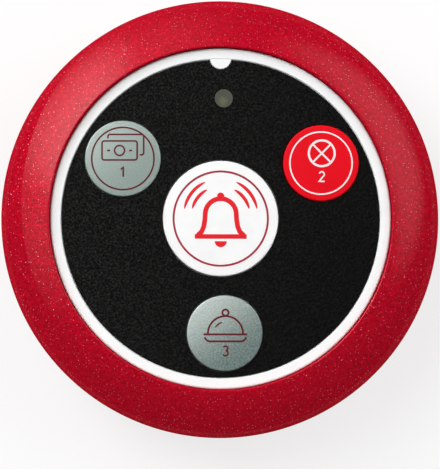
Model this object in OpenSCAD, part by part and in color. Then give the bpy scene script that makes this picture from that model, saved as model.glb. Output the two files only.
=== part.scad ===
// Round waiter call button with one large and three small keys.
// Millimetres. +Z is up, +Y points to the indicator lamp. The origin is the
// centre of the underside, on the table. The face is laid out from its centre
// outwards: large key, small keys, film, white rim, red shell. The shell is
// clamped between the face plate above and the base cover below.

/* [Housing] */
// Height from the table to the crown of the shell
body_h = 20; // [18:0.5:26]
// Width of the red ring, from the face opening to the outer edge
ring_w = 6.5; // [5.5:0.1:9]
// Wall thickness of the shell
shell_wall = 2; // [1.6:0.1:2.3]
// Slope of the domed top where it leaves the lip, in degrees
crown_slope = 10; // [5:1:16]
// Slope of the domed top where it meets the shoulder, in degrees
shoulder_slope = 45; // [40:1:52]
// Radius of the shoulder
shoulder_r = 1.5; // [1.1:0.1:2]
// Radius of the lip round the opening
lip_r = 0.35; // [0.25:0.05:0.7]
// Radius of the bulged side in section
side_r = 40; // [32:1:70]
// Thickness of the collar that hangs inside the opening
collar_t = 1.6; // [1.2:0.1:2]
// How far the ledge under the face plate reaches inwards
ledge_w = 1.5; // [1.1:0.1:1.7]
// Thickness of the ledge
ledge_t = 1.6; // [1.2:0.1:2]
// Number of stiffening ribs in the shell
shell_ribs = 12; // [6:1:16]
// Thickness of a stiffening rib
rib_t = 1; // [0.8:0.1:1.4]
// Width of the notch that stops the face plate from turning
notch_w = 3; // [2:0.1:4]
// Depth of that notch
notch_depth = 0.9; // [0.6:0.1:1.1]

/* [Face plate and film] */
// How far the rim of the face plate lies below the crown
rim_drop = 0.8; // [0.7:0.05:1]
// Width of the white rim
rim_w = 1.5; // [1.1:0.1:1.8]
// Radius of the rim's outer edge
rim_edge_r = 0.3; // [0.15:0.05:0.5]
// Thickness of the face plate at its rim
plate_t = 2.2; // [2:0.1:2.5]
// Thickness of the overlay film
film_t = 0.35; // [0.25:0.05:0.4]
// Depth of the film's top below the rim
film_drop = 0.1; // [0.05:0.05:0.2]
// Width of the film outside the small keys
film_margin = 0.95; // [0.8:0.05:2]
// Width of the locating tab
tab_w = 2.9; // [2.2:0.1:3.4]
// How far the locating tab reaches inwards
tab_l = 1.3; // [0.9:0.1:1.45]
// Diameter of the lamp lens
lens_d = 2.5; // [2:0.1:3]
// Distance of the lens centre from the film's edge
lens_inset = 5.35; // [4.6:0.05:6.2]
// Direction in which the lens lies from the centre, in degrees
lens_angle = 88.5; // [80:0.5:100]
// Width of the lens flange behind the face plate
lens_flange_w = 0.6; // [0.4:0.1:0.9]
// Thickness of the lens flange
lens_flange_t = 0.6; // [0.4:0.1:0.8]

/* [Keys] */
// Diameter of the large key
call_d = 15.8; // [13.5:0.1:20]
// Diameter of a small key
key_d = 10.4; // [9.2:0.1:14]
// Space between the large key and the small keys
key_space = 2.6; // [2:0.1:5]
// Direction in which the pay key lies from the centre, in degrees
pay_angle = 148.5; // [142:0.5:156]
// Direction in which the cancel key lies, in degrees
cancel_angle = 29; // [24:0.5:38]
// Direction in which the order key lies, in degrees
order_angle = 272; // [264:0.5:276]
// How far the keys stand out of the film
key_proud = 0.5; // [0.45:0.05:0.9]
// Travel of a key
key_travel = 0.4; // [0.2:0.05:0.45]
// Radius of a key's top edge
key_edge_r = 0.2; // [0.15:0.05:0.5]
// Slope of a key's gently crowned top where it meets that edge, in degrees
key_slope = 2.6; // [1:0.2:3.4]
// Side wall of a key cap
key_wall = 1; // [0.8:0.1:1.2]
// Top wall of a key cap
key_top_t = 1.2; // [1:0.1:1.4]
// Diameter of the post under a key
key_post_d = 2.9; // [2.4:0.1:3.4]
// How far a key's flange reaches under the face plate
flange_w = 0.6; // [0.45:0.05:0.65]
// Thickness of a key's flange
flange_t = 0.7; // [0.5:0.1:0.9]
// Width of the lug that stops a key from turning
lug_w = 1.6; // [1.2:0.1:2]
// How far the lug reaches out of the flange
lug_l = 0.8; // [0.6:0.1:1]
// Thickness of the ribs that guide the lug
guide_t = 0.8; // [0.6:0.1:1]

/* [Switches] */
// Width of a square switch body
switch_w = 4.5; // [4:0.1:5]
// Height of a switch body with its cover
switch_h = 2.6; // [2.4:0.1:2.8]
// Thickness of the floor of a switch body
switch_floor_t = 0.6; // [0.4:0.1:0.7]
// Thickness of the steel cover
switch_cover_t = 0.25; // [0.2:0.05:0.3]
// Width of a clip of the steel cover
clip_w = 1.6; // [1.2:0.1:2]
// Height of a clip of the steel cover
clip_h = 1.4; // [1:0.1:1.8]
// Diameter of a plunger
plunger_d = 2.3; // [2:0.1:2.5]
// How far a plunger stands out of its cover
plunger_out = 0.7; // [0.6:0.05:0.9]
// How far a plunger's flange reaches under its cover
plunger_flange_w = 0.35; // [0.25:0.05:0.4]
// Rise of a snap dome
dome_rise = 0.35; // [0.25:0.05:0.4]
// Thickness of a snap dome
dome_t = 0.1; // [0.08:0.01:0.15]
// Width of a switch leg
leg_w = 0.7; // [0.5:0.1:0.9]
// Thickness of a leg and of a clip
leg_t = 0.2; // [0.15:0.05:0.3]
// How far a leg reaches out of its body
leg_reach = 1; // [0.7:0.1:1.2]

/* [Circuit board] */
// Gap between the board and the ledge that it passes
board_clear = 1.6; // [1.3:0.1:2]
// Thickness of the board
board_t = 1.2; // [1:0.1:1.6]
// Space between the board and the face plate
board_gap = 3; // [2.7:0.1:3.3]
// Placement grid of the parts on the board
grid = 0.5; // [0.45:0.05:0.55]
// Diameter of the indicator lamp
led_d = 2.6; // [2:0.1:2.8]
// Width of the lamp's foot ring
led_foot_w = 0.3; // [0.2:0.1:0.5]
// Height of the lamp's foot ring
led_foot_h = 0.5; // [0.3:0.1:0.6]
// Length of the encoder chip
chip_l = 8.6; // [6:0.1:9.4]
// Width of the encoder chip
chip_w = 3.9; // [3:0.1:4.4]
// Height of the encoder chip
chip_h = 1.5; // [1:0.1:1.8]
// Legs on each side of the encoder chip
chip_legs = 7; // [4:1:7]
// Distance between two of its legs
chip_pitch = 1.27; // [1:0.01:1.35]
// Length of the transistor
transistor_l = 2.9; // [2.4:0.1:3.2]
// Width of the transistor
transistor_w = 1.3; // [1.1:0.1:1.6]
// Height of the transistor
transistor_h = 1.1; // [0.8:0.1:1.3]
// Distance between two of its legs
transistor_pitch = 1.9; // [1.6:0.1:2]
// Diameter of the resonator's can
can_d = 7.6; // [6:0.1:8.4]
// Height of the resonator's can
can_h = 3.1; // [2:0.1:3.6]
// Width of the can's flange
can_flange_w = 0.4; // [0.2:0.1:0.5]
// Thickness of the can's flange
can_flange_t = 0.4; // [0.3:0.1:0.6]
// Length, width and height of a small chip part
small_part = [2, 1.2, 0.5];
// Turns of the coil aerial
aerial_turns = 9; // [5:1:10]
// Outer diameter of the coil aerial
aerial_d = 5; // [4:0.1:5.6]
// Thickness of the aerial's wire
aerial_wire = 0.6; // [0.4:0.05:0.65]

/* [Battery] */
// Diameter of the battery
battery_d = 8; // [7:0.1:9]
// Length of the battery without its terminal
battery_l = 27.2; // [24:0.1:30]
// Diameter of the battery's terminal
terminal_d = 3; // [2.4:0.1:3.6]
// Length of the battery's terminal
terminal_l = 1; // [0.8:0.1:1.4]
// Distance of the battery's axis from the centre
battery_y = 6; // [5.4:0.1:7]
// Wall thickness of the battery holder
holder_wall = 0.8; // [0.7:0.1:1.2]
// How far the holder reaches below the battery's axis
holder_reach = 1.6; // [1:0.1:2]
// Thickness of the flat contact
contact_t = 0.4; // [0.3:0.1:0.5]
// Width of the flat contact
contact_w = 5; // [4:0.1:5.6]
// Width of the contact's tail
tail_w = 1.6; // [1.2:0.1:2]
// Length of the battery spring as fitted
spring_l = 2.6; // [2.2:0.1:3]
// Mean diameter of the spring's large end
spring_d = 5.6; // [5:0.1:6.4]
// Mean diameter of the spring's small end
spring_tip_d = 3.2; // [2.6:0.1:3.8]
// Turns of the battery spring
spring_turns = 3; // [2:1:3]
// Thickness of the spring's wire
spring_wire = 0.5; // [0.4:0.05:0.55]

/* [Base] */
// Thickness of the base cover's floor
floor_t = 1.9; // [1.6:0.1:2.2]
// Thickness of the adhesive pad
pad_t = 1; // [0.8:0.1:1.4]
// Diameter of the adhesive pad
pad_d = 46; // [43:0.5:50]
// Depth of the recess that holds the pad
pad_recess = 0.5; // [0.3:0.1:0.6]
// Gap round a screw head in the pad's hole
pad_hole_gap = 0.5; // [0.3:0.1:0.8]
// Radius of the base cover's lower edge
base_edge_r = 1.4; // [0.8:0.1:1.55]
// Height of the lip that centres the shell
base_lip_h = 2; // [1.5:0.1:2.6]
// Thickness of that lip
base_lip_t = 1.2; // [1:0.1:1.6]
// Height of the silicone seal
seal_h = 0.6; // [0.4:0.1:0.8]
// Width of the shell's skirt outside the seal
skirt_w = 0.7; // [0.6:0.1:0.9]
// Thickness of a battery saddle
saddle_t = 1.4; // [1:0.1:2]

/* [Screws] */
// Angle of the first cover screw, in degrees
boss_angle = 70; // [66:1:74]
// Gap between a screw boss and the ledge that it passes
boss_clear = 1; // [0.8:0.1:1.4]
// Outer diameter of a screw boss
boss_d = 4.4; // [4:0.1:4.8]
// Thread diameter of a cover screw
screw_d = 2.2; // [2:0.1:2.4]
// Length of a cover screw under its head
screw_l = 8; // [6:0.1:9]
// Head diameter of a cover screw
head_d = 4; // [3.6:0.1:4.4]
// Head height of a cover screw
head_h = 1.3; // [1:0.1:1.5]
// How deep the head is sunk in the base cover
head_sink = 0.5; // [0.3:0.1:0.8]
// Wall above the screw head
post_roof = 1.6; // [1.2:0.1:2]
// Wall round the screw head
post_wall = 1.2; // [1:0.1:1.4]
// Angle of the first board screw, in degrees
stud_angle = 110; // [106:1:114]
// Outer diameter of a stud for a board screw
stud_d = 3.4; // [3:0.1:3.8]
// Gap between a stud and the ledge that it passes
stud_clear = 1.7; // [1.5:0.1:2.2]
// Thread diameter of a board screw
board_screw_d = 1.6; // [1.4:0.1:1.8]
// Length of a board screw's thread inside its stud
board_screw_grip = 2.2; // [1.8:0.1:2.5]
// Head diameter of a board screw
board_head_d = 3; // [2.6:0.1:3.2]
// Head height of a board screw
board_head_h = 0.9; // [0.7:0.1:1.1]

/* [Clearances] */
// Gap between face plate and shell
plate_gap = 0.15; // [0.1:0.05:0.3]
// Gap round the film
film_gap = 0.1; // [0.05:0.05:0.15]
// Gap between a key and its hole
key_gap = 0.15; // [0.1:0.05:0.25]
// Gap above a key's flange
flange_gap = 0.05; // [0.03:0.01:0.1]
// Gap round a switch plunger
plunger_gap = 0.15; // [0.1:0.05:0.25]
// Gap round fixed inner pieces
fit_gap = 0.1; // [0.05:0.05:0.15]
// Shadow gap between shell and base cover
parting_gap = 0.15; // [0.1:0.05:0.3]

/* [Hidden] */
$fn = 96;
arc_steps = 16;
eps = 0.01;

// Heights, from the table up
base_z = pad_t - pad_recess;
floor_z = base_z + floor_t;
shell_z = floor_z + parting_gap;
head_seat_z = base_z + head_sink + head_h;
post_z = head_seat_z + post_roof;
boss_z = post_z + fit_gap;
rim_z = body_h - rim_drop;
film_z = rim_z - film_drop;
recess_z = film_z - film_t;
plate_z = rim_z - plate_t;
flange_z = plate_z - flange_gap - flange_t;
key_z = film_z + key_proud;
board_top_z = plate_z - board_gap;
board_z = board_top_z - board_t;
cover_z = board_top_z + switch_h;
plunger_z = cover_z + plunger_out;
plunger_low_z = board_top_z + switch_floor_t + dome_rise + key_travel + fit_gap;
battery_z = board_z - holder_wall - fit_gap - battery_d / 2;
holder_low_z = battery_z - holder_reach;

// The face, from its centre out
call_r = call_d / 2;
key_r = key_d / 2;
key_place_r = call_r + key_space + key_r;
rim_r = key_place_r + key_r + film_margin;
plate_r = rim_r + rim_w;
opening_r = plate_r + plate_gap;
ledge_r = opening_r - ledge_w;
body_r = opening_r + ring_w;
key_angles = [pay_angle, cancel_angle, order_angle];
key_spots = [for (a = key_angles) key_place_r * [cos(a), sin(a)]];
switch_spots = concat([[0, 0]], key_spots);
lens_spot = (rim_r - lens_inset) * [cos(lens_angle), sin(lens_angle)];
lens_hole_d = lens_d + 2 * fit_gap;
post_r = head_d / 2 + fit_gap + post_wall;
well_r = plunger_d / 2 + plunger_flange_w + 2 * fit_gap;

// Section of the shell: lip, dome, shoulder and side are tangent arcs
lip_x = opening_r + lip_r;
lip_z = body_h - lip_r;
crown_x = lip_x + lip_r * sin(crown_slope);
shoulder_x = body_r - shoulder_r * (1 - sin(shoulder_slope));
dome_r = (shoulder_x - crown_x) / (sin(shoulder_slope) - sin(crown_slope));
dome_x = crown_x - dome_r * sin(crown_slope);
dome_z = lip_z + (lip_r - dome_r) * cos(crown_slope);
waist_z = dome_z + (dome_r - shoulder_r) * cos(shoulder_slope);
side_x = body_r - side_r;

// Edges that follow the shell's section
skirt_r = side_at(side_r, shell_z) - skirt_w;
base_lip_r = side_at(side_r - shell_wall, floor_z) - 2 * fit_gap;

// Board and screws
board_r = ledge_r - board_clear;
boss_spots = trio(ledge_r - boss_clear - boss_d / 2, boss_angle);
stud_spots = trio(ledge_r - stud_clear - stud_d / 2, stud_angle);
chip_spot = grid * [-16, -9];
transistor_spot = grid * [1, -17];
can_spot = grid * [14, -13];
aerial_spot = grid * [-7, -29];
small_part_spots = grid * [
    [-28, -18], [-22, -19], [-16, -19], [-10, -19], [-2, -8],
    [4, -8], [28, -8], [29, -14], [-4, 28], [2, 28]
];

// Battery compartment, along X
holder_l = contact_t + terminal_l + battery_l + spring_l;
holder_w = battery_d + 2 * (fit_gap + holder_wall);
contact_x = -holder_l / 2;
terminal_x = contact_x + contact_t;
cell_x = terminal_x + terminal_l;
spring_x = cell_x + battery_l;
saddle_places = [-holder_l / 4, holder_l / 4];

// Radius of the side, drawn with radius r in section, at height z
function side_at(r, z) = side_x + sqrt(r * r - (waist_z - z) * (waist_z - z));

// Three places at even angles
function trio(r, first) = [for (i = [0:2]) r * [cos(first + 120 * i), sin(first + 120 * i)]];

// Points of an arc round c, from angle a to angle b
function arc(c, r, a, b, steps = arc_steps) =
    [for (i = [0:steps]) c + r * [cos(a + (b - a) * i / steps), sin(a + (b - a) * i / steps)]];

// Points of a helix along X that starts at the top; its radius goes from r0 to r1
function helix(r0, r1, l, turns, steps) = [
    for (i = [0:turns * steps])
        let (t = i / (turns * steps), a = 90 + 360 * turns * t, r = r0 + (r1 - r0) * t)
        [l * t, r * cos(a), r * sin(a)]
];

// A round wire of radius r along the points of a helix, as one closed tube
module wire(path, r, sides = 6) {
    last = len(path) - 1;
    rings = [
        for (i = [0:last])
            let (
                along = path[min(i + 1, last)] - path[max(i - 1, 0)],
                t = along / norm(along),
                out = [0, path[i][1], path[i][2]],
                across = out - (out * t) * t,
                n = across / norm(across),
                b = cross(t, n)
            )
            for (k = [0:sides - 1]) path[i] + r * (cos(360 * k / sides) * n + sin(360 * k / sides) * b)
    ];
    skin = [
        for (i = [0:last - 1], k = [0:sides - 1])
            let (p = i * sides + k, q = i * sides + (k + 1) % sides)
            each [[p, p + sides, q + sides], [p, q + sides, q]]
    ];
    start = [for (k = [1:sides - 2]) [0, k, k + 1]];
    end = [for (k = [1:sides - 2]) [last * sides, last * sides + k + 1, last * sides + k]];
    polyhedron(rings, concat(skin, start, end), convexity = 10);
}

// A ring between two radii
module ring(outer, inner, h) {
    difference() {
        cylinder(h = h, r = outer);
        translate([0, 0, -1]) cylinder(h = h + 2, r = inner);
    }
}

// Puts its children at each place of a list
module at_each(places) {
    for (p = places) translate([p[0], p[1], 0]) children();
}

// Red shell: an open moulded ring, hollow under its dome and stiffened by ribs
module outer_shell() {
    outline = concat(
        arc([side_x, waist_z], side_r, -asin((waist_z - shell_z) / side_r), 0),
        arc([body_r - shoulder_r, waist_z], shoulder_r, 0, 90 - shoulder_slope),
        arc([dome_x, dome_z], dome_r, 90 - shoulder_slope, 90 - crown_slope, 2 * arc_steps),
        arc([lip_x, lip_z], lip_r, 90 - crown_slope, 180),
        [[opening_r, plate_z], [ledge_r, plate_z], [ledge_r, shell_z]]
    );
    color([0.66, 0.04, 0.12]) difference() {
        union() {
            rotate_extrude() difference() {
                polygon(outline);
                shell_hollow();
                translate([0, shell_z - 1]) square([skirt_r, floor_z + seal_h - shell_z + 1]);
            }
            for (i = [0:shell_ribs - 1]) rotate(360 * (i + 0.5) / shell_ribs) shell_rib();
        }
        ledge_notch();
    }
}

// The hollow lies one wall inside the side and the dome, and leaves the collar and the ledge
module shell_hollow() {
    intersection() {
        inset_side(shell_wall);
        union() {
            translate([0, shell_z - 1]) square([body_r, plate_z - ledge_t - shell_z + 1]);
            intersection() {
                inset_dome(shell_wall);
                translate([opening_r + collar_t, shell_z - 1]) square([body_r, body_h]);
            }
        }
    }
}

// The side's and the dome's own circles, drawn one inset smaller
module inset_side(inset) {
    translate([side_x, waist_z]) circle(side_r - inset, $fn = 360);
}

module inset_dome(inset) {
    translate([dome_x, dome_z]) circle(dome_r - inset, $fn = 180);
}

// A rib stands in the hollow from collar to side and reaches half a wall into the dome
module shell_rib() {
    low = plate_z - ledge_t;
    rotate([90, 0, 0]) translate([0, 0, -rib_t / 2]) linear_extrude(rib_t) intersection() {
        inset_side(shell_wall / 2);
        inset_dome(shell_wall / 2);
        translate([opening_r + collar_t / 2, low]) square([ring_w, body_h - low]);
    }
}

// Notch in the ledge that stops the face plate from turning
module ledge_notch() {
    translate([ledge_r - 1, -notch_w / 2, plate_z - notch_depth])
        cube([ledge_w + 1 - plate_gap, notch_w, notch_depth + plate_t]);
}

// White face plate with screw bosses, board studs and lug guides on its back
module face_plate() {
    outline = concat(
        [[0, plate_z], [plate_r, plate_z]],
        arc([plate_r - rim_edge_r, rim_z - rim_edge_r], rim_edge_r, 0, 90, 6),
        [[rim_r + film_gap, rim_z], [rim_r, rim_z - film_gap], [rim_r, recess_z], [0, recess_z]]
    );
    boss_hole = screw_l - (boss_z - head_seat_z) + fit_gap;
    color([0.96, 0.96, 0.95]) difference() {
        union() {
            rotate_extrude() polygon(outline);
            locating_tab(0);
            turn_lug();
            at_each(boss_spots) translate([0, 0, boss_z]) cylinder(h = plate_z - boss_z + eps, d = boss_d);
            at_each(stud_spots) translate([0, 0, board_top_z]) cylinder(h = board_gap + eps, d = stud_d);
            lug_guides(call_r, 90);
            for (i = [0:2]) translate(key_spots[i]) lug_guides(key_r, key_angles[i] + 90);
        }
        key_holes(key_gap);
        at_each([lens_spot]) cylinder(h = body_h, d = lens_hole_d);
        at_each(boss_spots) translate([0, 0, boss_z - 1]) cylinder(h = boss_hole + 1, d = screw_d);
        at_each(stud_spots) translate([0, 0, board_top_z - 1])
            cylinder(h = board_screw_grip + fit_gap + 1, d = board_screw_d);
    }
}

// Rounded tab at twelve o'clock, widened all round by grow
module locating_tab(grow) {
    intersection() {
        translate([0, rim_r + tab_w / 2 - tab_l, recess_z - eps])
            cylinder(h = rim_z - recess_z - film_gap / 2, r = tab_w / 2 + grow);
        cylinder(h = body_h, r = rim_r + rim_w / 2);
    }
}

// Lug under the rim that drops into the ledge's notch
module turn_lug() {
    w = notch_w - 2 * fit_gap;
    translate([ledge_r - fit_gap, -w / 2, plate_z - notch_depth + fit_gap])
        cube([ledge_w - plate_gap - fit_gap, w, notch_depth]);
}

// Two ribs that a key's lug slides between
module lug_guides(r, a) {
    start = r + flange_w + 2 * key_gap;
    middle = (lug_w + guide_t) / 2 + key_gap;
    low_z = flange_z - key_travel;
    rotate(a) for (side = [-1, 1])
        translate([start, side * middle - guide_t / 2, low_z]) cube([lug_l, guide_t, plate_z - low_z + eps]);
}

// Round holes over all four keys
module key_holes(gap) {
    cylinder(h = body_h, r = call_r + gap);
    at_each(key_spots) cylinder(h = body_h, r = key_r + gap);
}

// Black film in the recess, cut out for the keys, the tab and the lens
module overlay_film() {
    color([0.07, 0.07, 0.08]) difference() {
        translate([0, 0, recess_z]) cylinder(h = film_t, r = rim_r - film_gap);
        key_holes(key_gap);
        locating_tab(film_gap);
        at_each([lens_spot]) cylinder(h = body_h, d = lens_hole_d);
    }
}

// Smoked light guide with a flange behind the face plate
module led_lens() {
    low_z = plate_z - lens_flange_t;
    color([0.35, 0.36, 0.3]) at_each([lens_spot]) translate([0, 0, low_z]) {
        cylinder(h = film_z - film_gap - low_z, d = lens_d);
        cylinder(h = lens_flange_t, r = lens_d / 2 + lens_flange_w);
    }
}

// Hollow key cap: crowned top, flange, post for the plunger and one lug.
// The crown and the rounded edge are tangent arcs.
module key_cap(r, lug_angle) {
    roof_z = key_z - key_top_t;
    post_d = key_post_d;
    crown_r = key_edge_r + (r - key_edge_r) / sin(key_slope);
    edge_z = key_z - crown_r + (crown_r - key_edge_r) * cos(key_slope);
    outline = concat(
        [[0, plunger_z], [post_d / 2, plunger_z], [post_d / 2, roof_z], [r - key_wall, roof_z]],
        [[r - key_wall, flange_z], [r + flange_w, flange_z], [r + flange_w, flange_z + flange_t]],
        [[r, flange_z + flange_t]],
        arc([r - key_edge_r, edge_z], key_edge_r, 0, 90 - key_slope, 6),
        arc([0, key_z - crown_r], crown_r, 90 - key_slope, 90, 10)
    );
    rotate_extrude() polygon(outline);
    rotate(lug_angle) translate([r + flange_w / 2, -lug_w / 2, flange_z])
        cube([flange_w / 2 + lug_l, lug_w, flange_t]);
}

module small_key(i) {
    translate(key_spots[i]) key_cap(key_r, key_angles[i] + 90);
}

module call_key() { color([0.97, 0.97, 0.97]) key_cap(call_r, 90); }
module pay_key() { color([0.64, 0.73, 0.71]) small_key(0); }
module cancel_key() { color([0.9, 0.05, 0.13]) small_key(1); }
module order_key() { color([0.6, 0.69, 0.67]) small_key(2); }

// Moulded switch base with a round well for dome and plunger
module switch_base(spot) {
    h = switch_h - switch_cover_t;
    color([0.12, 0.12, 0.13]) translate([spot[0], spot[1], board_top_z]) difference() {
        translate([-switch_w / 2, -switch_w / 2, 0]) cube([switch_w, switch_w, h]);
        translate([0, 0, switch_floor_t]) cylinder(h = h, r = well_r);
    }
}

// Steel cover that clips down two sides of the base
module switch_cover(spot) {
    color([0.75, 0.76, 0.78]) translate([spot[0], spot[1], cover_z - switch_cover_t]) {
        difference() {
            translate([-switch_w / 2, -switch_w / 2, 0]) cube([switch_w, switch_w, switch_cover_t]);
            translate([0, 0, -1]) cylinder(h = 2, d = plunger_d + 2 * plunger_gap);
        }
        for (side = [0, 180]) rotate(side)
            translate([-clip_w / 2, switch_w / 2, switch_cover_t - clip_h]) cube([clip_w, leg_t, clip_h]);
    }
}

// Plunger with the flange that keeps it under the cover
module switch_plunger(spot) {
    shelf_z = plunger_low_z + fit_gap;
    top_z = cover_z - switch_cover_t - fit_gap;
    color([0.15, 0.15, 0.16]) at_each([spot]) {
        translate([0, 0, plunger_low_z]) cylinder(h = plunger_z - plunger_low_z, d = plunger_d);
        translate([0, 0, shelf_z]) cylinder(h = top_z - shelf_z, r = plunger_d / 2 + plunger_flange_w);
    }
}

module call_switch_base() { switch_base(switch_spots[0]); }
module pay_switch_base() { switch_base(switch_spots[1]); }
module cancel_switch_base() { switch_base(switch_spots[2]); }
module order_switch_base() { switch_base(switch_spots[3]); }
module call_switch_cover() { switch_cover(switch_spots[0]); }
module pay_switch_cover() { switch_cover(switch_spots[1]); }
module cancel_switch_cover() { switch_cover(switch_spots[2]); }
module order_switch_cover() { switch_cover(switch_spots[3]); }
module call_switch_plunger() { switch_plunger(switch_spots[0]); }
module pay_switch_plunger() { switch_plunger(switch_spots[1]); }
module cancel_switch_plunger() { switch_plunger(switch_spots[2]); }
module order_switch_plunger() { switch_plunger(switch_spots[3]); }

// Thin domed contacts on the floor of each well
module snap_domes() {
    r = well_r - fit_gap;
    ball_r = (r * r + dome_rise * dome_rise) / (2 * dome_rise);
    half = asin(r / ball_r);
    sheet = concat(
        arc([0, dome_rise - ball_r], ball_r, 90 - half, 90, 8),
        arc([0, dome_rise - dome_t - ball_r], ball_r, 90, 90 - half, 8)
    );
    color([0.8, 0.8, 0.82]) at_each(switch_spots) translate([0, 0, board_top_z + switch_floor_t])
        rotate_extrude() intersection() {
            polygon(sheet);
            square([r, dome_rise]);
        }
}

// Four soldered legs at the corners of each switch
module switch_legs() {
    edge = switch_w / 2;
    color([0.82, 0.82, 0.84]) at_each(switch_spots) for (side = [0, 180], y = [-edge, edge - leg_w])
        rotate(side) translate([edge, y, board_top_z]) {
            cube([leg_t, leg_w, 3 * leg_t]);
            cube([leg_reach, leg_w, leg_t]);
        }
}

// Round board with a notch for each boss and a hole for each board screw
module circuit_board() {
    color([0.06, 0.34, 0.2]) difference() {
        translate([0, 0, board_z]) cylinder(h = board_t, r = board_r);
        at_each(boss_spots) cylinder(h = body_h, d = boss_d + 4 * fit_gap);
        at_each(stud_spots) cylinder(h = body_h, d = board_screw_d + 2 * fit_gap);
    }
}

// Cross-head screw that points up, with the underside of its head at z = 0
module screw(d, l, head, h) {
    slot_w = d / 4;
    difference() {
        union() {
            cylinder(h = l, d = d - fit_gap);
            translate([0, 0, -h]) cylinder(h = h, d = head);
        }
        for (a = [0, 90]) rotate(a)
            translate([-head / 3, -slot_w / 2, -h - 1]) cube([2 * head / 3, slot_w, 1 + h / 2]);
    }
}

module board_screws() {
    color([0.72, 0.72, 0.74]) at_each(stud_spots) translate([0, 0, board_z])
        screw(board_screw_d, board_t + board_screw_grip, board_head_d, board_head_h);
}

module cover_screws() {
    color([0.72, 0.72, 0.74]) at_each(boss_spots) translate([0, 0, head_seat_z])
        screw(screw_d, screw_l, head_d, head_h);
}

// Indicator lamp with a foot ring and a round nose, on the board behind the lens
module status_led() {
    r = led_d / 2;
    nose_z = board_gap - lens_flange_t - fit_gap - r;
    outline = concat(
        [[0, 0], [r + led_foot_w, 0], [r + led_foot_w, led_foot_h], [r, led_foot_h]],
        arc([0, nose_z], r, 0, 90, 8)
    );
    color([0.9, 0.35, 0.3]) at_each([lens_spot]) translate([0, 0, board_top_z])
        rotate_extrude() polygon(outline);
}

// Chip with a row of legs on each side, hung from the underside of the board
module chip(l, w, h, legs, pitch) {
    first = -(legs - 1) * pitch / 2 - leg_t;
    translate([-l / 2, -w / 2, -h]) cube([l, w, h - leg_t / 2]);
    for (i = [0:legs - 1], side = [0, 180]) rotate(side)
        translate([first + i * pitch, w / 2 - leg_t, -leg_t]) cube([2 * leg_t, leg_reach, leg_t]);
}

module encoder_chip() {
    color([0.1, 0.1, 0.1]) at_each([chip_spot]) translate([0, 0, board_z])
        chip(chip_l, chip_w, chip_h, chip_legs, chip_pitch);
}

module radio_transistor() {
    color([0.1, 0.1, 0.1]) at_each([transistor_spot]) translate([0, 0, board_z])
        chip(transistor_l, transistor_w, transistor_h, 2, transistor_pitch);
}

// Round metal can with a flange against the board
module radio_resonator() {
    color([0.78, 0.77, 0.72]) at_each([can_spot]) {
        translate([0, 0, board_z - can_h]) cylinder(h = can_h, d = can_d);
        translate([0, 0, board_z - can_flange_t]) cylinder(h = can_flange_t, r = can_d / 2 + can_flange_w);
    }
}

// Small resistors and capacitors
module chip_parts() {
    color([0.45, 0.36, 0.28]) at_each(small_part_spots)
        translate([-small_part[0] / 2, -small_part[1] / 2, board_z - small_part[2]]) cube(small_part);
}

// Coil aerial that lies against the board
module coil_aerial() {
    coil_r = (aerial_d - aerial_wire) / 2;
    coil_l = aerial_turns * 2 * aerial_wire;
    color([0.8, 0.5, 0.25])
        translate([aerial_spot[0] - coil_l / 2, aerial_spot[1], board_z - (aerial_d + fit_gap) / 2])
            wire(helix(coil_r, coil_r, coil_l, aerial_turns, 12), aerial_wire / 2);
}

// A round bar along X over the battery's place
module battery_bar(x, l, d) {
    translate([x, battery_y, battery_z]) rotate([0, 90, 0]) cylinder(h = l, d = d);
}

// Channel that hangs under the board, open below, with a slot for the contact's tail
module battery_holder() {
    room_d = battery_d + 2 * fit_gap;
    color([0.16, 0.16, 0.17]) difference() {
        translate([contact_x - holder_wall, battery_y - holder_w / 2, holder_low_z])
            cube([holder_l + 2 * holder_wall, holder_w, board_z - holder_low_z]);
        battery_bar(contact_x, holder_l, room_d);
        translate([contact_x, battery_y - room_d / 2, holder_low_z - 1])
            cube([holder_l, room_d, battery_z - holder_low_z + 1]);
        translate([contact_x - fit_gap, battery_y - tail_w / 2 - fit_gap, battery_z])
            cube([contact_t + 2 * fit_gap, tail_w + 2 * fit_gap, body_h]);
    }
}

module battery_cell() { color([0.75, 0.62, 0.25]) battery_bar(cell_x, battery_l, battery_d); }
module battery_terminal() { color([0.8, 0.8, 0.8]) battery_bar(terminal_x, terminal_l, terminal_d); }

// Conical spring against the flat end of the battery
module battery_spring() {
    path = helix(spring_tip_d / 2, spring_d / 2, spring_l - spring_wire, spring_turns, 16);
    color([0.82, 0.82, 0.84]) translate([spring_x + spring_wire / 2, battery_y, battery_z])
        wire(path, spring_wire / 2);
}

// Flat contact with a tail that reaches the board
module battery_contact() {
    color([0.82, 0.82, 0.84]) translate([contact_x, battery_y, battery_z]) {
        translate([0, -contact_w / 2, -contact_w / 2]) cube([contact_t, contact_w, contact_w]);
        translate([0, -tail_w / 2, 0]) cube([contact_t, tail_w, board_z - battery_z]);
    }
}

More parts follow.
